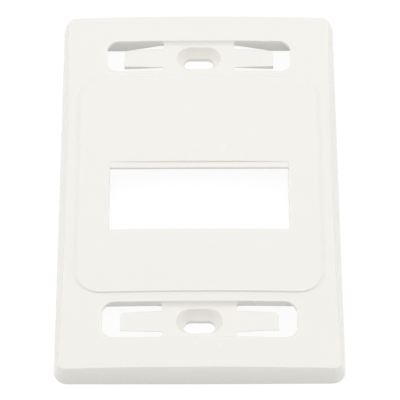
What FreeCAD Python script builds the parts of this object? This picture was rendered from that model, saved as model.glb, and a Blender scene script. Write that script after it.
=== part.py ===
import FreeCAD, Part
import math
import os

# Single-gang communications faceplate: one injection-moulded shell, open at the back.
# Millimetres. The origin is the centre of the back rim's plane, +Z points out of the
# wall, and +Y runs along the plate towards the end that is uppermost on the wall.

# --- Driving dimensions ------------------------------------------------------

# Outline, measured at the back rim
LENGTH = 114.3
WIDTH = 69.85
CORNER_R = 3.3
CREASE_CORNER_R = 2.1       # the same corner higher up, where its flanks meet the face

# Face: crowned both ways, like a very shallow pillow
FACE_HEIGHT = 5.95          # back rim to the crest of the face, at the middle
CROWN_R_ACROSS = 700.0      # curvature from side to side
CROWN_R_ALONG = 1340.0      # curvature from end to end
FACE_WALL = 2.0

# Flank: a convex arc that rises from the back rim and meets the face in a crisp crease
FLANK_R = 9.87
FLANK_DRAFT = 5.0           # degrees off upright, at the rim

# Skirt: the wall behind the flank
SKIRT_WALL = 1.9            # at the rim
SKIRT_DRAFT = 12.0          # degrees, on the inside
SKIRT_INNER_R = 1.6

# Raised panel on the middle of the face
PANEL_WIDTH = 59.4
PANEL_LENGTH = 67.4
PANEL_CORNER_R = 5.75
PANEL_STEP = 0.38

# Module opening, low of centre, with a sunk catch lip along its upper edge
OPENING_WIDTH = 44.6
OPENING_TOP = 6.15          # upper edge of the opening in the face, from the plate's centre
OPENING_BOTTOM = -15.15     # lower edge
LIP_REACH = 1.83            # how far the lip stands into the opening
LIP_SINK = 0.42             # its flat top, below the panel's crest
LIP_WALL = 0.6
RAIL_WALL = 1.3             # guide rails behind the opening's two short sides
RAIL_FOOT = 1.6             # height of the rails' back edge above the rim's plane

# Screw windows: one at each end, centred on the fixing screws
SCREW_SPACING = 83.34       # single-gang wall box
WINDOW_WIDTH = 47.0
WINDOW_LENGTH = 10.4
WINDOW_CORNER_R = 3.0
POCKET_REACH = 1.7          # undercut behind each short end, for a cover's catches
POCKET_LIP = 0.9            # what is left of the face over the undercut

# Gussets behind the outer long edge of each window
GUSSET_WALL = 1.2
GUSSET_FOOT = 0.95          # height of its deep part's back edge
GUSSET_DEEP_FROM = 18.9     # half-width at which the deep part begins
GUSSET_SHALLOW_AT = 10.0    # half-width at which the slope runs out into the face

# Screw block across the middle of each window
BLOCK_HALF_WIDTH = 9.0
BLOCK_DROP = 1.1            # its surface below the face
BLOCK_FILLET = 1.05         # hollow fillet up to the window's long edges
BLOCK_WALL = 0.9
SLIT_END_R = 0.55           # plan radius at the blind ends of the slits

# Screw slot in its dish, on a boss that stands back towards the wall box
SLOT_R = 1.83
SLOT_HALF_TRAVEL = 2.0      # from the middle to the centre of each round end
SLOT_DEPTH = 0.9            # straight part, under the dish
DISH_R = 3.65
DISH_DEPTH = 2.5
DISH_HOLLOW = 0.31          # bow of the dish's section, off a straight cone
BOSS_WALL = 1.0             # round the dish's rim
BOSS_FOOT_WALL = 1.9        # round the slot, at the boss's back face

# Spring fingers: one each side of each screw block, thin and slightly drooped
FINGER_REACH = 10.1         # beyond the block
FINGER_ROOT_HALF = 3.1      # half-widths of its top
FINGER_TIP_HALF = 2.6
FINGER_WALL = 0.8
FINGER_TIP_WALL = 1.1
FINGER_UNDERCUT = 33.0      # degrees that its sides lean in below
FINGER_DROOP = 0.2
FINGER_TIP_UPPER_R = 1.6    # plan radii of the tip's corners
FINGER_TIP_LOWER_R = 0.4

# How far tools run past the material that they cut, and solids into what carries them
PAST = 1.0

HALF_SPACING = SCREW_SPACING / 2.0
TOP_CLEAR = FACE_HEIGHT + PANEL_STEP + PAST


def vec(x, y, z):
    return FreeCAD.Vector(x, y, z)


def rounded_outline(corners, z=0.0):
    """Closed wire through (x, y, radius) corners, with a tangent arc at each radius."""
    points = [vec(x, y, z) for x, y, _ in corners]
    runs = []
    for i, (_, _, radius) in enumerate(corners):
        here = points[i]
        back = (points[i - 1] - here).normalize()
        on = (points[(i + 1) % len(points)] - here).normalize()
        if radius <= 0:
            runs.append((here, None, here))
            continue
        half = back.getAngle(on) / 2.0
        trim = radius / math.tan(half)
        middle = (back + on).normalize()
        apex = here + middle * (radius / math.sin(half) - radius)
        runs.append((here + back * trim, apex, here + on * trim))
    edges = []
    for i, (start, apex, end) in enumerate(runs):
        if apex is not None:
            edges.append(Part.Arc(start, apex, end).toShape())
        follow = runs[(i + 1) % len(runs)][0]
        if end.distanceToPoint(follow) > 1e-6:
            edges.append(Part.LineSegment(end, follow).toShape())
    return Part.Wire(edges)


def rectangle(width, length, radius, z=0.0):
    x, y = width / 2.0, length / 2.0
    return rounded_outline([(x, -y, radius), (x, y, radius), (-x, y, radius), (-x, -y, radius)], z)


def obround(half_travel, radius, z=0.0):
    """Long hole's outline along X: two half circles and the straight runs between them."""
    x, r = half_travel, radius
    return Part.Wire([
        Part.LineSegment(vec(-x, -r, z), vec(x, -r, z)).toShape(),
        Part.Arc(vec(x, -r, z), vec(x + r, 0, z), vec(x, r, z)).toShape(),
        Part.LineSegment(vec(x, r, z), vec(-x, r, z)).toShape(),
        Part.Arc(vec(-x, r, z), vec(-x - r, 0, z), vec(-x, -r, z)).toShape(),
    ])


def prism(wire, bottom, top):
    face = Part.Face(wire)
    face.translate(vec(0, 0, bottom - wire.BoundBox.ZMin))
    return face.extrude(vec(0, 0, top - bottom))


def block(x0, x1, y0, y1, z0, z1):
    return Part.makeBox(x1 - x0, y1 - y0, z1 - z0, vec(x0, y0, z0))


def face_z(x, y, offset=0.0):
    """Height of the crowned face, or of a surface parallel to it."""
    along = CROWN_R_ALONG + offset
    crest = CROWN_R_ACROSS + offset - (along - math.sqrt(along ** 2 - y ** 2))
    return FACE_HEIGHT - CROWN_R_ACROSS + math.sqrt(crest ** 2 - x ** 2)


def under_crown(offset=0.0):
    """Everything below the crowned face, or below a surface parallel to it."""
    half_length = LENGTH / 2.0 + PAST
    half_turn = math.degrees(math.asin((WIDTH / 2.0 + PAST) / CROWN_R_ACROSS)) + 1.0
    low = -2.0 * FACE_HEIGHT
    ends = [vec(0, y, face_z(0, y, offset)) for y in (-half_length, 0.0, half_length)]
    left, right = vec(0, -half_length, low), vec(0, half_length, low)
    section = Part.Wire([
        Part.Arc(*ends).toShape(),
        Part.LineSegment(ends[2], right).toShape(),
        Part.LineSegment(right, left).toShape(),
        Part.LineSegment(left, ends[0]).toShape(),
    ])
    axis = vec(0, 0, FACE_HEIGHT - CROWN_R_ACROSS)
    face = Part.Face(section)
    face.rotate(axis, vec(0, 1, 0), -half_turn)
    return face.revolve(axis, vec(0, 1, 0), 2.0 * half_turn)


def flank_section(half):
    """Section of the plate between two flanks, drawn as (across, height) with the middle at 0."""
    rise = math.radians(90.0 - FLANK_DRAFT)
    centre_in = FLANK_R * math.sin(rise)
    centre_z = -FLANK_R * math.cos(rise)

    def on_arc(z):
        return half - centre_in + math.sqrt(FLANK_R ** 2 - (z - centre_z) ** 2)

    heights = (-PAST, FACE_HEIGHT / 2.0, TOP_CLEAR)
    right = [(on_arc(z), z) for z in heights]
    left = [(-across, z) for across, z in reversed(right)]
    return right, left


def between_flanks(half, place):
    """Face bounded by the two flank arcs; place turns (across, height) into a point."""
    right, left = ([place(*point) for point in side] for side in flank_section(half))
    return Part.Face(Part.Wire([
        Part.Arc(*right).toShape(),
        Part.LineSegment(right[2], left[0]).toShape(),
        Part.Arc(*left).toShape(),
        Part.LineSegment(left[2], right[0]).toShape(),
    ]))


def flanked_prism():
    """Body with its four flanks and rounded corners, still tall and flat on top."""
    axis = vec(0, 0, FACE_HEIGHT - CROWN_R_ACROSS)
    half_turn = math.degrees(math.asin((WIDTH / 2.0 + PAST) / CROWN_R_ACROSS)) + 0.5
    # The end flanks turn about the crown's own axis, so the end creases run level with it.
    ends = between_flanks(LENGTH / 2.0, lambda across, z: vec(0, across, z))
    ends.rotate(axis, vec(0, 1, 0), -half_turn)
    ends = ends.revolve(axis, vec(0, 1, 0), 2.0 * half_turn)
    reach = LENGTH / 2.0 + PAST
    sides = between_flanks(WIDTH / 2.0, lambda across, z: vec(across, -reach, z))
    body = ends.common(sides.extrude(vec(0, 2.0 * reach, 0)))
    upper = body.common(block(-reach, reach, 0, reach, -2.0 * FACE_HEIGHT, 2.0 * TOP_CLEAR))
    corners = [e for e in upper.Edges if stands_at_corner(e)]
    upper = upper.makeFillet(*[corner_radius(v.Z) for v in corners[0].Vertexes], corners)
    return upper.fuse(upper.mirror(vec(0, 0, 0), vec(0, 1, 0))).removeSplitter()


def corner_radius(z):
    """Radius of the plate's corners at a height: it narrows evenly as the flanks close in."""
    crease = face_z(WIDTH / 2.0, LENGTH / 2.0)
    return CORNER_R + (CREASE_CORNER_R - CORNER_R) * z / crease


def stands_at_corner(edge):
    box = edge.BoundBox
    near_side = min(abs(box.XMin), abs(box.XMax)) > WIDTH / 2.0 - FLANK_R
    near_end = min(abs(box.YMin), abs(box.YMax)) > LENGTH / 2.0 - FLANK_R
    return near_side and near_end and box.ZLength > FACE_HEIGHT


def outer_body():
    body = flanked_prism().common(under_crown())
    body = body.common(block(-WIDTH, WIDTH, -LENGTH, LENGTH, 0, TOP_CLEAR))
    panel = prism(rectangle(PANEL_WIDTH, PANEL_LENGTH, PANEL_CORNER_R), 0, TOP_CLEAR)
    return body.fuse(panel.common(under_crown(PANEL_STEP)))


def cavity():
    """The hollow of the back: drafted skirt walls, closed by a parallel of the face."""
    lean = math.tan(math.radians(SKIRT_DRAFT))
    sections = []
    for z in (-PAST, FACE_HEIGHT):
        inset = SKIRT_WALL + z * lean
        sections.append(rectangle(WIDTH - 2 * inset, LENGTH - 2 * inset, SKIRT_INNER_R, z))
    return Part.makeLoft(sections, True, True).common(under_crown(-FACE_WALL))


def module_opening():
    """Tools for the opening, the sunk top of its catch lip and the space under the lip."""
    half = OPENING_WIDTH / 2.0
    lip_edge = OPENING_TOP - LIP_REACH
    lip_top = FACE_HEIGHT + PANEL_STEP - LIP_SINK
    through = block(-half, half, OPENING_BOTTOM, lip_edge, -PAST, TOP_CLEAR)
    over_lip = block(-half, half, lip_edge, OPENING_TOP, lip_top, TOP_CLEAR)
    under_lip = block(-half, half, lip_edge, OPENING_TOP, -PAST, lip_top - LIP_WALL)
    return through.multiFuse([over_lip, under_lip])


def module_rails():
    inner = OPENING_WIDTH / 2.0
    rails = []
    for side in (-1, 1):
        x0, x1 = sorted((side * inner, side * (inner + RAIL_WALL)))
        rail = block(x0, x1, OPENING_BOTTOM, OPENING_TOP - LIP_REACH, RAIL_FOOT, TOP_CLEAR)
        rails.append(rail.common(under_crown(-FACE_WALL / 2.0)))
    return rails


def window_cut():
    """Opening in the face and the undercut pocket behind each of its short ends."""
    half = WINDOW_WIDTH / 2.0
    y0, y1 = -WINDOW_LENGTH / 2.0, WINDOW_LENGTH / 2.0
    cut = prism(rectangle(WINDOW_WIDTH, WINDOW_LENGTH, WINDOW_CORNER_R), -PAST, TOP_CLEAR)
    behind = block(-half - POCKET_REACH, half + POCKET_REACH, y0, y1, -PAST, TOP_CLEAR)
    behind.translate(vec(0, HALF_SPACING, 0))
    behind = behind.common(under_crown(-POCKET_LIP))
    cut.translate(vec(0, HALF_SPACING, 0))
    return cut.fuse(behind)


def window_gussets():
    """Two walls behind the window's outer long edge, each sloping out towards the middle."""
    y0 = HALF_SPACING + WINDOW_LENGTH / 2.0
    end = WINDOW_WIDTH / 2.0 + POCKET_REACH + GUSSET_WALL
    root = face_z(GUSSET_SHALLOW_AT, y0, -FACE_WALL)
    gussets = []
    for side in (-1, 1):
        corners = [
            (GUSSET_SHALLOW_AT, root), (GUSSET_DEEP_FROM, GUSSET_FOOT), (end, GUSSET_FOOT),
            (end, TOP_CLEAR), (GUSSET_SHALLOW_AT, TOP_CLEAR),
        ]
        points = [vec(side * x, y0, z) for x, z in corners]
        face = Part.Face(Part.makePolygon(points + points[:1]))
        gusset = face.extrude(vec(0, GUSSET_WALL, 0))
        gussets.append(gusset.common(under_crown(-FACE_WALL / 2.0)))
    return gussets


def block_surface():
    return face_z(0, HALF_SPACING) - BLOCK_DROP


def screw_block():
    """Cross-piece of the window, with its sunk surface and hollow fillets."""
    half, long_edge = BLOCK_HALF_WIDTH, WINDOW_LENGTH / 2.0
    flare = half + 2.0 * SLIT_END_R
    surface = block_surface()
    corners = []
    for sx, sy in ((1, -1), (1, 1), (-1, 1), (-1, -1)):
        quarter = [
            (sx * flare, sy * (long_edge + PAST), 0),
            (sx * flare, sy * long_edge, 0),
            (sx * half, sy * long_edge, SLIT_END_R),
        ]
        corners += quarter if sx * sy < 0 else quarter[::-1]
    body = prism(rounded_outline(corners), surface - BLOCK_WALL, TOP_CLEAR)
    floor = rounded_outline([
        (long_edge, TOP_CLEAR, 0), (-long_edge, TOP_CLEAR, 0),
        (-long_edge, surface, BLOCK_FILLET), (long_edge, surface, BLOCK_FILLET),
    ])
    trough = Part.Face(floor).extrude(vec(0, 0, 2.0 * (flare + PAST)))
    # The section was drawn as (y, z): stand it up and turn it to run along X.
    trough.rotate(vec(0, 0, 0), vec(1, 0, 0), 90)
    trough.rotate(vec(0, 0, 0), vec(0, 0, 1), 90)
    trough.translate(vec(-(flare + PAST) - trough.BoundBox.XMin, 0, 0))
    body = body.cut(trough)
    body.translate(vec(0, HALF_SPACING, 0))
    return body.common(under_crown())


def screw_boss():
    surface = block_surface()
    foot = surface - DISH_DEPTH - SLOT_DEPTH
    top = surface - BLOCK_WALL / 2.0

    back = obround(SLOT_HALF_TRAVEL, SLOT_R + BOSS_FOOT_WALL, foot)
    front = obround(SLOT_HALF_TRAVEL, DISH_R + BOSS_WALL, top)
    boss = Part.makeLoft([back, front], True, True)
    boss.translate(vec(0, HALF_SPACING, 0))
    return boss


def screw_dish():
    """Dish and slot as one tool: a section turned round both ends and drawn between them."""
    surface = block_surface()
    low = surface - DISH_DEPTH
    rim, hole = vec(DISH_R, 0, surface), vec(SLOT_R, 0, low)
    chord = rim - hole
    outward = vec(chord.z, 0, -chord.x).normalize()
    bow = hole + chord * 0.5 + outward * DISH_HOLLOW
    corners = [vec(SLOT_R, 0, -PAST), vec(0, 0, -PAST), vec(0, 0, TOP_CLEAR), vec(DISH_R, 0, TOP_CLEAR)]
    section = Part.Wire([
        Part.LineSegment(hole, corners[0]).toShape(),
        Part.LineSegment(corners[0], corners[1]).toShape(),
        Part.LineSegment(corners[1], corners[2]).toShape(),
        Part.LineSegment(corners[2], corners[3]).toShape(),
        Part.LineSegment(corners[3], rim).toShape(),
        Part.Arc(rim, bow, hole).toShape(),
    ])
    pieces = []
    for side in (-1, 1):
        end = Part.Face(section)
        end.rotate(vec(0, 0, 0), vec(0, 0, 1), -90 * side)
        centre = vec(side * SLOT_HALF_TRAVEL, 0, 0)
        end.translate(centre)
        pieces.append(end.revolve(centre, vec(0, 0, 1), 180))
        run = Part.Face(section)
        run.rotate(vec(0, 0, 0), vec(0, 0, 1), 90 * side)
        run.translate(vec(-SLOT_HALF_TRAVEL, 0, 0))
        pieces.append(run.extrude(vec(2.0 * SLOT_HALF_TRAVEL, 0, 0)))
    tool = pieces[0].multiFuse(pieces[1:]).removeSplitter()
    tool.translate(vec(0, HALF_SPACING, 0))
    return tool


def finger_section(x, outer, inner, top, wall):
    """Section of a finger across its length: flat on top, its sides leaning in below."""
    lean_outer, lean_inner = (wall * math.tan(math.radians(lean)) for lean in (outer[1], inner[1]))
    corners = [
        (outer[0], top), (-inner[0], top),
        (-inner[0] + lean_inner, top - wall), (outer[0] - lean_outer, top - wall),
    ]
    points = [vec(x, y, z) for y, z in corners]
    return Part.makePolygon(points + points[:1])


def spring_fingers(end):
    """The two fingers of one end, drawn for +X and mirrored. Their tips' inner sides stand
    upright; end is 1 for the upper end of the plate and -1 for the lower."""
    root, tip = BLOCK_HALF_WIDTH, BLOCK_HALF_WIDTH + FINGER_REACH
    surface = block_surface()
    lean = FINGER_UNDERCUT
    sections = [
        finger_section(root, (FINGER_ROOT_HALF, lean), (FINGER_ROOT_HALF, lean), surface, FINGER_WALL),
        finger_section(tip, (FINGER_TIP_HALF, lean), (FINGER_TIP_HALF, 0.0), surface - FINGER_DROOP, FINGER_TIP_WALL),
    ]
    blade = Part.makeLoft(sections, True, True)
    if end < 0:
        blade = blade.mirror(vec(0, 0, 0), vec(0, 1, 0))
    half = FINGER_ROOT_HALF
    tip_outline = rounded_outline([
        (root, -half, 0), (tip, -half, FINGER_TIP_LOWER_R),
        (tip, half, FINGER_TIP_UPPER_R), (root, half, 0),
    ])
    finger = blade.common(prism(tip_outline, 0, TOP_CLEAR))
    finger.translate(vec(0, end * HALF_SPACING, 0))
    return [finger, finger.mirror(vec(0, 0, 0), vec(1, 0, 0))]


def both_ends(shapes):
    return shapes + [s.mirror(vec(0, 0, 0), vec(0, 1, 0)) for s in shapes]


def faceplate():
    shell = outer_body().cut(cavity())
    shell = shell.multiFuse(both_ends(window_gussets()) + module_rails())
    shell = shell.cut(Part.makeCompound(both_ends([window_cut()]) + [module_opening()]))
    fingers = spring_fingers(1) + spring_fingers(-1)
    shell = shell.multiFuse(both_ends([screw_block(), screw_boss()]) + fingers)
    shell = shell.cut(Part.makeCompound(both_ends([screw_dish()])))
    return shell.removeSplitter()


os.makedirs("parts", exist_ok=True)
plate = faceplate()
solid = plate.Solids[0] if len(plate.Solids) == 1 else plate
solid.exportStep("parts/faceplate.step")
print("faceplate: solids %d, valid %s, volume %.1f mm3" % (len(plate.Solids), plate.isValid(), plate.Volume))
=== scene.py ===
import math

import bmesh
import bpy
from mathutils import Matrix, Vector


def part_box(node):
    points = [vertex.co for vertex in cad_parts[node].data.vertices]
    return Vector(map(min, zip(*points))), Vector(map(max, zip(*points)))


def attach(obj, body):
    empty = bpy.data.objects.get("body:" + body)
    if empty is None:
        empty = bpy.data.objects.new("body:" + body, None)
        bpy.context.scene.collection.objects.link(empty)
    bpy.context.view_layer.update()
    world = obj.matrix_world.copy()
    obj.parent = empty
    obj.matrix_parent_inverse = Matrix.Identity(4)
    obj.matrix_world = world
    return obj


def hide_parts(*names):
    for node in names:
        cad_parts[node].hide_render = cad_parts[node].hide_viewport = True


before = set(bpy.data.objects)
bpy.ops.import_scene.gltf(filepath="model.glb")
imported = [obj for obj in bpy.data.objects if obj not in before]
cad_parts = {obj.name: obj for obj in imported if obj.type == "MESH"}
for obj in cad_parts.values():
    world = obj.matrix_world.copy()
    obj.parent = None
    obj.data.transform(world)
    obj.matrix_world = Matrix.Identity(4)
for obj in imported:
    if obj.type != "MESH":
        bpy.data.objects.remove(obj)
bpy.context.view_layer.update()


# The faceplate is one injection moulding in off-white plastic, held to the wall box by a screw in
# each dished slot. Its face swells a little both ways, its edges keep the mould's small round, and
# its skin is finely spark-eroded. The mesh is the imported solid's own, cut finer.

EDGE_ANGLE = math.radians(28.0)  # a fold sharper than this is an edge
GRID = 0.0040  # size of the facets on the crown
CROWN_ALONG = 1.340  # radius of the face along the plate
CROWN_ACROSS = 0.700  # radius of the face across the plate
FACE_HEIGHT = 0.00595  # height of the crown where it is highest
PANEL_STEP = 0.00038  # height of the raised panel over the face
FACE_WALL = 0.0020  # depth of the face's underside below the crown
FACET_SAG = 0.00004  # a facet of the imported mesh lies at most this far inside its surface
PANEL_HALF = (0.0297, 0.0337)  # half the raised panel's width and length
PANEL_CORNER = 0.00575  # radius of its corners
WALL_LEAN = 0.0009  # how far the panel's wall leans out at its foot, where it leans
LEAN_REACH = 0.0020  # width of the strip of face whose facets make room for the foot
WELD = 0.000001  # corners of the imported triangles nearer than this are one


def crown_height(x, y, rise):
    """Height of the crowned surface that lies rise above the face."""
    along = math.sqrt((CROWN_ALONG + rise) ** 2 - y * y) - CROWN_ALONG
    return math.sqrt((CROWN_ACROSS + along) ** 2 - x * x) - CROWN_ACROSS + FACE_HEIGHT


def cut_across(mesh, axis, low, high):
    """Cuts the mesh by level planes along an axis, so that no facet is longer than the grid."""
    normal = Vector([1.0 if k == axis else 0.0 for k in range(3)])
    steps = math.ceil((high - low) / GRID)
    for step in range(1, steps):
        place = normal * (low + (high - low) * step / steps)
        everything = mesh.verts[:] + mesh.edges[:] + mesh.faces[:]
        bmesh.ops.bisect_plane(mesh, geom=everything, dist=WELD, plane_co=place, plane_no=normal)


def settle_on_crown(mesh):
    """Lifts the corners that the cuts left inside a crowned surface on to it."""
    for corner in mesh.verts:
        for rise in (0.0, PANEL_STEP, -FACE_WALL):
            sag = crown_height(corner.co.x, corner.co.y, rise) - corner.co.z
            if 0.0 < sag < FACET_SAG:
                corner.co.z += sag


def lean_out(mesh):
    """Leans the panel's wall out along its sides and far end. At the near end it stays upright."""
    for corner in mesh.verts:
        x, y = corner.co.x, corner.co.y
        rise = corner.co.z - crown_height(x, y, 0.0)
        over = (abs(x) - PANEL_HALF[0] + PANEL_CORNER, abs(y) - PANEL_HALF[1] + PANEL_CORNER)
        out = Vector([max(length, 0.0) for length in over])
        past = max(out.length - PANEL_CORNER, 0.0)
        near_wall = out.length > PANEL_CORNER - FACET_SAG and past < LEAN_REACH
        if near_wall and -FACET_SAG < rise < PANEL_STEP:
            out = Vector((math.copysign(out.x, x), math.copysign(out.y, y))).normalized()
            out *= WALL_LEAN * min(1.0 + out.y, 1.0)
            out *= (1.0 - past / LEAN_REACH) * (1.0 - rise / PANEL_STEP)
            x, y = x + out.x, y + out.y
            corner.co = (x, y, crown_height(x, y, rise))


plate_mesh = bmesh.new()
plate_mesh.from_mesh(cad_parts["faceplate"].data)
bmesh.ops.remove_doubles(plate_mesh, verts=plate_mesh.verts, dist=WELD)
low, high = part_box("faceplate")
cut_across(plate_mesh, 0, low.x, high.x)
cut_across(plate_mesh, 1, low.y, high.y)
settle_on_crown(plate_mesh)
for face in plate_mesh.faces:
    face.smooth = True
for edge in plate_mesh.edges:
    edge.smooth = len(edge.link_faces) == 2 and edge.calc_face_angle() < EDGE_ANGLE
lean_out(plate_mesh)

plate_data = bpy.data.meshes.new("plate")
plate_mesh.to_mesh(plate_data)
plate_mesh.free()
plate = bpy.data.objects.new("plate", plate_data)
bpy.context.scene.collection.objects.link(plate)

EDGE_ROUND = 0.00014  # round that the mould leaves on an edge
PIT_SIZE = 0.00016  # width of one pit of the spark-eroded skin
PIT_DEPTH = 0.0000035
WAVE_SIZE = 0.014  # width of the slow waves that the cooling melt leaves in the skin
WAVE_DEPTH = 0.000012
MOTTLE_SIZE = 0.014  # width of the patches in the skin's sheen and tint
MOTTLE_GRAIN = 0.85  # share of finer grain, which breaks up their outlines
MOTTLE_SPAN = (0.3, 0.7)  # the part of the noise that the patches use
SATIN = (0.24, 0.28)  # roughness of the skin over the patches
CREAM = (0.898, 0.882, 0.838, 1.0)
CREAM_PALE = (0.902, 0.888, 0.847, 1.0)
PLASTIC_IOR = 1.52
HAZE = 0.35  # share of the light that sinks into the plastic before it comes back
HAZE_DEPTH = 0.0006
HAZE_REACH = (1.0, 0.9, 0.75)  # share of that depth that red, green and blue light reach

plastic = bpy.data.materials.new("moulded_plastic")
plastic.use_nodes = True
nodes, links = plastic.node_tree.nodes, plastic.node_tree.links
shader = nodes["Principled BSDF"]
shader.inputs["IOR"].default_value = PLASTIC_IOR
shader.inputs["Subsurface Weight"].default_value = HAZE
shader.inputs["Subsurface Radius"].default_value = HAZE_REACH
shader.inputs["Subsurface Scale"].default_value = HAZE_DEPTH
here = nodes.new("ShaderNodeTexCoord").outputs["Object"]


def cloud(size, octaves, grain=0.5):
    """Noise whose patches are about size wide, with octaves of finer grain in them."""
    noise = nodes.new("ShaderNodeTexNoise")
    noise.inputs["Scale"].default_value = 1.0 / size
    noise.inputs["Detail"].default_value = octaves
    noise.inputs["Roughness"].default_value = grain
    links.new(here, noise.inputs["Vector"])
    return noise.outputs["Fac"]


def spread(value, span, low, high):
    """Stretches the span of a value to run from low to high."""
    stretch = nodes.new("ShaderNodeMapRange")
    for socket, number in zip(stretch.inputs[1:5], (span[0], span[1], low, high)):
        socket.default_value = number
    links.new(value, stretch.inputs[0])
    return stretch.outputs[0]


def press(height, depth, under):
    """Presses a height from 0 to 1 into the surface whose normal comes from under."""
    bump = nodes.new("ShaderNodeBump")
    bump.inputs["Strength"].default_value = 1.0
    bump.inputs["Distance"].default_value = depth
    links.new(height, bump.inputs["Height"])
    links.new(under, bump.inputs["Normal"])
    return bump.outputs["Normal"]


mottle = cloud(MOTTLE_SIZE, octaves=9.0, grain=MOTTLE_GRAIN)
links.new(spread(mottle, MOTTLE_SPAN, *SATIN), shader.inputs["Roughness"])
tint = nodes.new("ShaderNodeMix")
tint.data_type = "RGBA"
tint.inputs["A"].default_value = CREAM
tint.inputs["B"].default_value = CREAM_PALE
links.new(spread(mottle, MOTTLE_SPAN, 0.0, 1.0), tint.inputs["Factor"])
links.new(tint.outputs["Result"], shader.inputs["Base Color"])

rounded = nodes.new("ShaderNodeBevel")
rounded.samples = 6
rounded.inputs["Radius"].default_value = EDGE_ROUND
waved = press(cloud(WAVE_SIZE, octaves=1.0), WAVE_DEPTH, rounded.outputs["Normal"])
pitted = press(cloud(PIT_SIZE, octaves=2.0), PIT_DEPTH, waved)
links.new(pitted, shader.inputs["Normal"])
plate_data.materials.clear()
plate_data.materials.append(plastic)

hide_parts("faceplate")
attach(plate, "root")


# The floor is a wide sheet of plain white paper on a light table. It shows white, with the
# object's shadow faint on it, and glows softly up at the plate's walls and through its openings.

FLOOR_HALF = 3.0  # the sheet's half-width
PAPER_WHITE = 0.90  # the white that the camera and reflections see
PAPER_SHADE = 0.13  # how much of the light and shadow on the sheet they see on top of that
TABLE_GLOW = 0.32  # the light that the sheet gives the plate from below
PAPER_BOUNCE = 0.30  # how much of the lamps' light it throws back at the plate

floor_data = bpy.data.meshes.new("floor")
corners = [(-1, -1), (1, -1), (1, 1), (-1, 1)]
places = [(FLOOR_HALF * x, FLOOR_HALF * y, 0.0) for x, y in corners]
floor_data.from_pydata(places, [], [(0, 1, 2, 3)])
floor = bpy.data.objects.new("floor", floor_data)
bpy.context.scene.collection.objects.link(floor)

paper = bpy.data.materials.new("floor_paper")
paper.use_nodes = True
nodes, links = paper.node_tree.nodes, paper.node_tree.links
nodes.remove(nodes["Principled BSDF"])


def glowing_paper(glow, shade):
    """The paper, giving its own light and throwing back a share of what falls on it."""
    light = nodes.new("ShaderNodeEmission")
    light.inputs["Strength"].default_value = glow
    matt = nodes.new("ShaderNodeBsdfDiffuse")
    matt.inputs["Color"].default_value = (shade, shade, shade, 1.0)
    both = nodes.new("ShaderNodeAddShader")
    links.new(light.outputs[0], both.inputs[0])
    links.new(matt.outputs[0], both.inputs[1])
    return both.outputs[0]


def shown_apart(tree, lighting, showing):
    """Joins a shader that lights the plate to the one to show in its place, seen or reflected."""
    nodes, links = tree.nodes, tree.links
    ray = nodes.new("ShaderNodeLightPath")
    seen = ray.outputs["Is Camera Ray"]
    for other in ("Is Glossy Ray", "Is Transmission Ray"):
        either = nodes.new("ShaderNodeMath")
        either.operation = "MAXIMUM"
        links.new(seen, either.inputs[0])
        links.new(ray.outputs[other], either.inputs[1])
        seen = either.outputs[0]
    choice = nodes.new("ShaderNodeMixShader")
    links.new(seen, choice.inputs[0])
    links.new(lighting, choice.inputs[1])
    links.new(showing, choice.inputs[2])
    return choice.outputs[0]


lighting_sheet = glowing_paper(TABLE_GLOW, PAPER_BOUNCE)
white_sheet = glowing_paper(PAPER_WHITE, PAPER_SHADE)
sheet = shown_apart(paper.node_tree, lighting_sheet, white_sheet)
links.new(sheet, nodes["Material Output"].inputs["Surface"])
floor_data.materials.append(paper)


# The studio light is an even pale room, with a large soft lamp at each side and one behind, which
# lift the plate's flanks. Where the room is seen or reflected, it is white.

ROOM_LEVEL = 0.70  # the even light that the room gives the plate
ROOM_WHITE = 1.0
LAMP_SIZE = 0.8
SIDE_LAMP = (1.006, 0.0, 0.654)  # place of the right lamp, and of the left one mirrored
SIDE_WATTS = 3.2
BACK_LAMP = (0.0, 0.849, 0.849)
BACK_WATTS = 1.7

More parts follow.
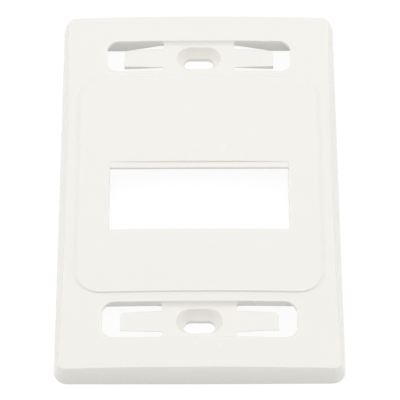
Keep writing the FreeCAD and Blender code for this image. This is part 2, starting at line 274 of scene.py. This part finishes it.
world = bpy.data.worlds.new("studio")
bpy.context.scene.world = world
world.use_nodes = True
nodes, links = world.node_tree.nodes, world.node_tree.links
nodes.remove(nodes["Background"])


def pale_room(level):
    """An even white room at one level."""
    room = nodes.new("ShaderNodeBackground")
    room.inputs["Color"].default_value = (1.0, 1.0, 1.0, 1.0)
    room.inputs["Strength"].default_value = level
    return room.outputs[0]


room = shown_apart(world.node_tree, pale_room(ROOM_LEVEL), pale_room(ROOM_WHITE))
links.new(room, nodes["World Output"].inputs["Surface"])


def soft_lamp(name, place, watts):
    """Hangs a square soft lamp at place, turned to the plate, with no hot spot in its gloss."""
    light = bpy.data.lights.new(name, "AREA")
    light.size = LAMP_SIZE
    light.energy = watts
    lamp = bpy.data.objects.new(name, light)
    aim = Vector(place).to_track_quat("Z", "Y").to_matrix().to_4x4()
    lamp.matrix_world = Matrix.Translation(place) @ aim
    lamp.visible_glossy = False
    bpy.context.scene.collection.objects.link(lamp)


soft_lamp("left_lamp", (-SIDE_LAMP[0], SIDE_LAMP[1], SIDE_LAMP[2]), SIDE_WATTS)
soft_lamp("right_lamp", SIDE_LAMP, SIDE_WATTS)
soft_lamp("back_lamp", BACK_LAMP, BACK_WATTS)


# The camera looks down along the plate from its lower end.

CAMERA_ELEVATION = math.radians(51.9)
CAMERA_DISTANCE = 0.775
CAMERA_ROLL = math.radians(-0.16)
SENSOR_WIDTH = 36.0  # millimetres, as the lens is
LENS = 279.0
LENS_SHIFT = (0.0020, -0.0107)

lens = bpy.data.cameras.new("camera")
lens.sensor_width = SENSOR_WIDTH
lens.lens = LENS
lens.shift_x, lens.shift_y = LENS_SHIFT
camera = bpy.data.objects.new("camera", lens)
stand = Vector((0.0, -math.cos(CAMERA_ELEVATION), math.sin(CAMERA_ELEVATION))) * CAMERA_DISTANCE
turn = stand.to_track_quat("Z", "Y").to_matrix().to_4x4() @ Matrix.Rotation(CAMERA_ROLL, 4, "Z")
camera.matrix_world = Matrix.Translation(stand) @ turn
bpy.context.scene.collection.objects.link(camera)
bpy.context.scene.camera = camera
bpy.context.scene.view_settings.view_transform = "Standard"
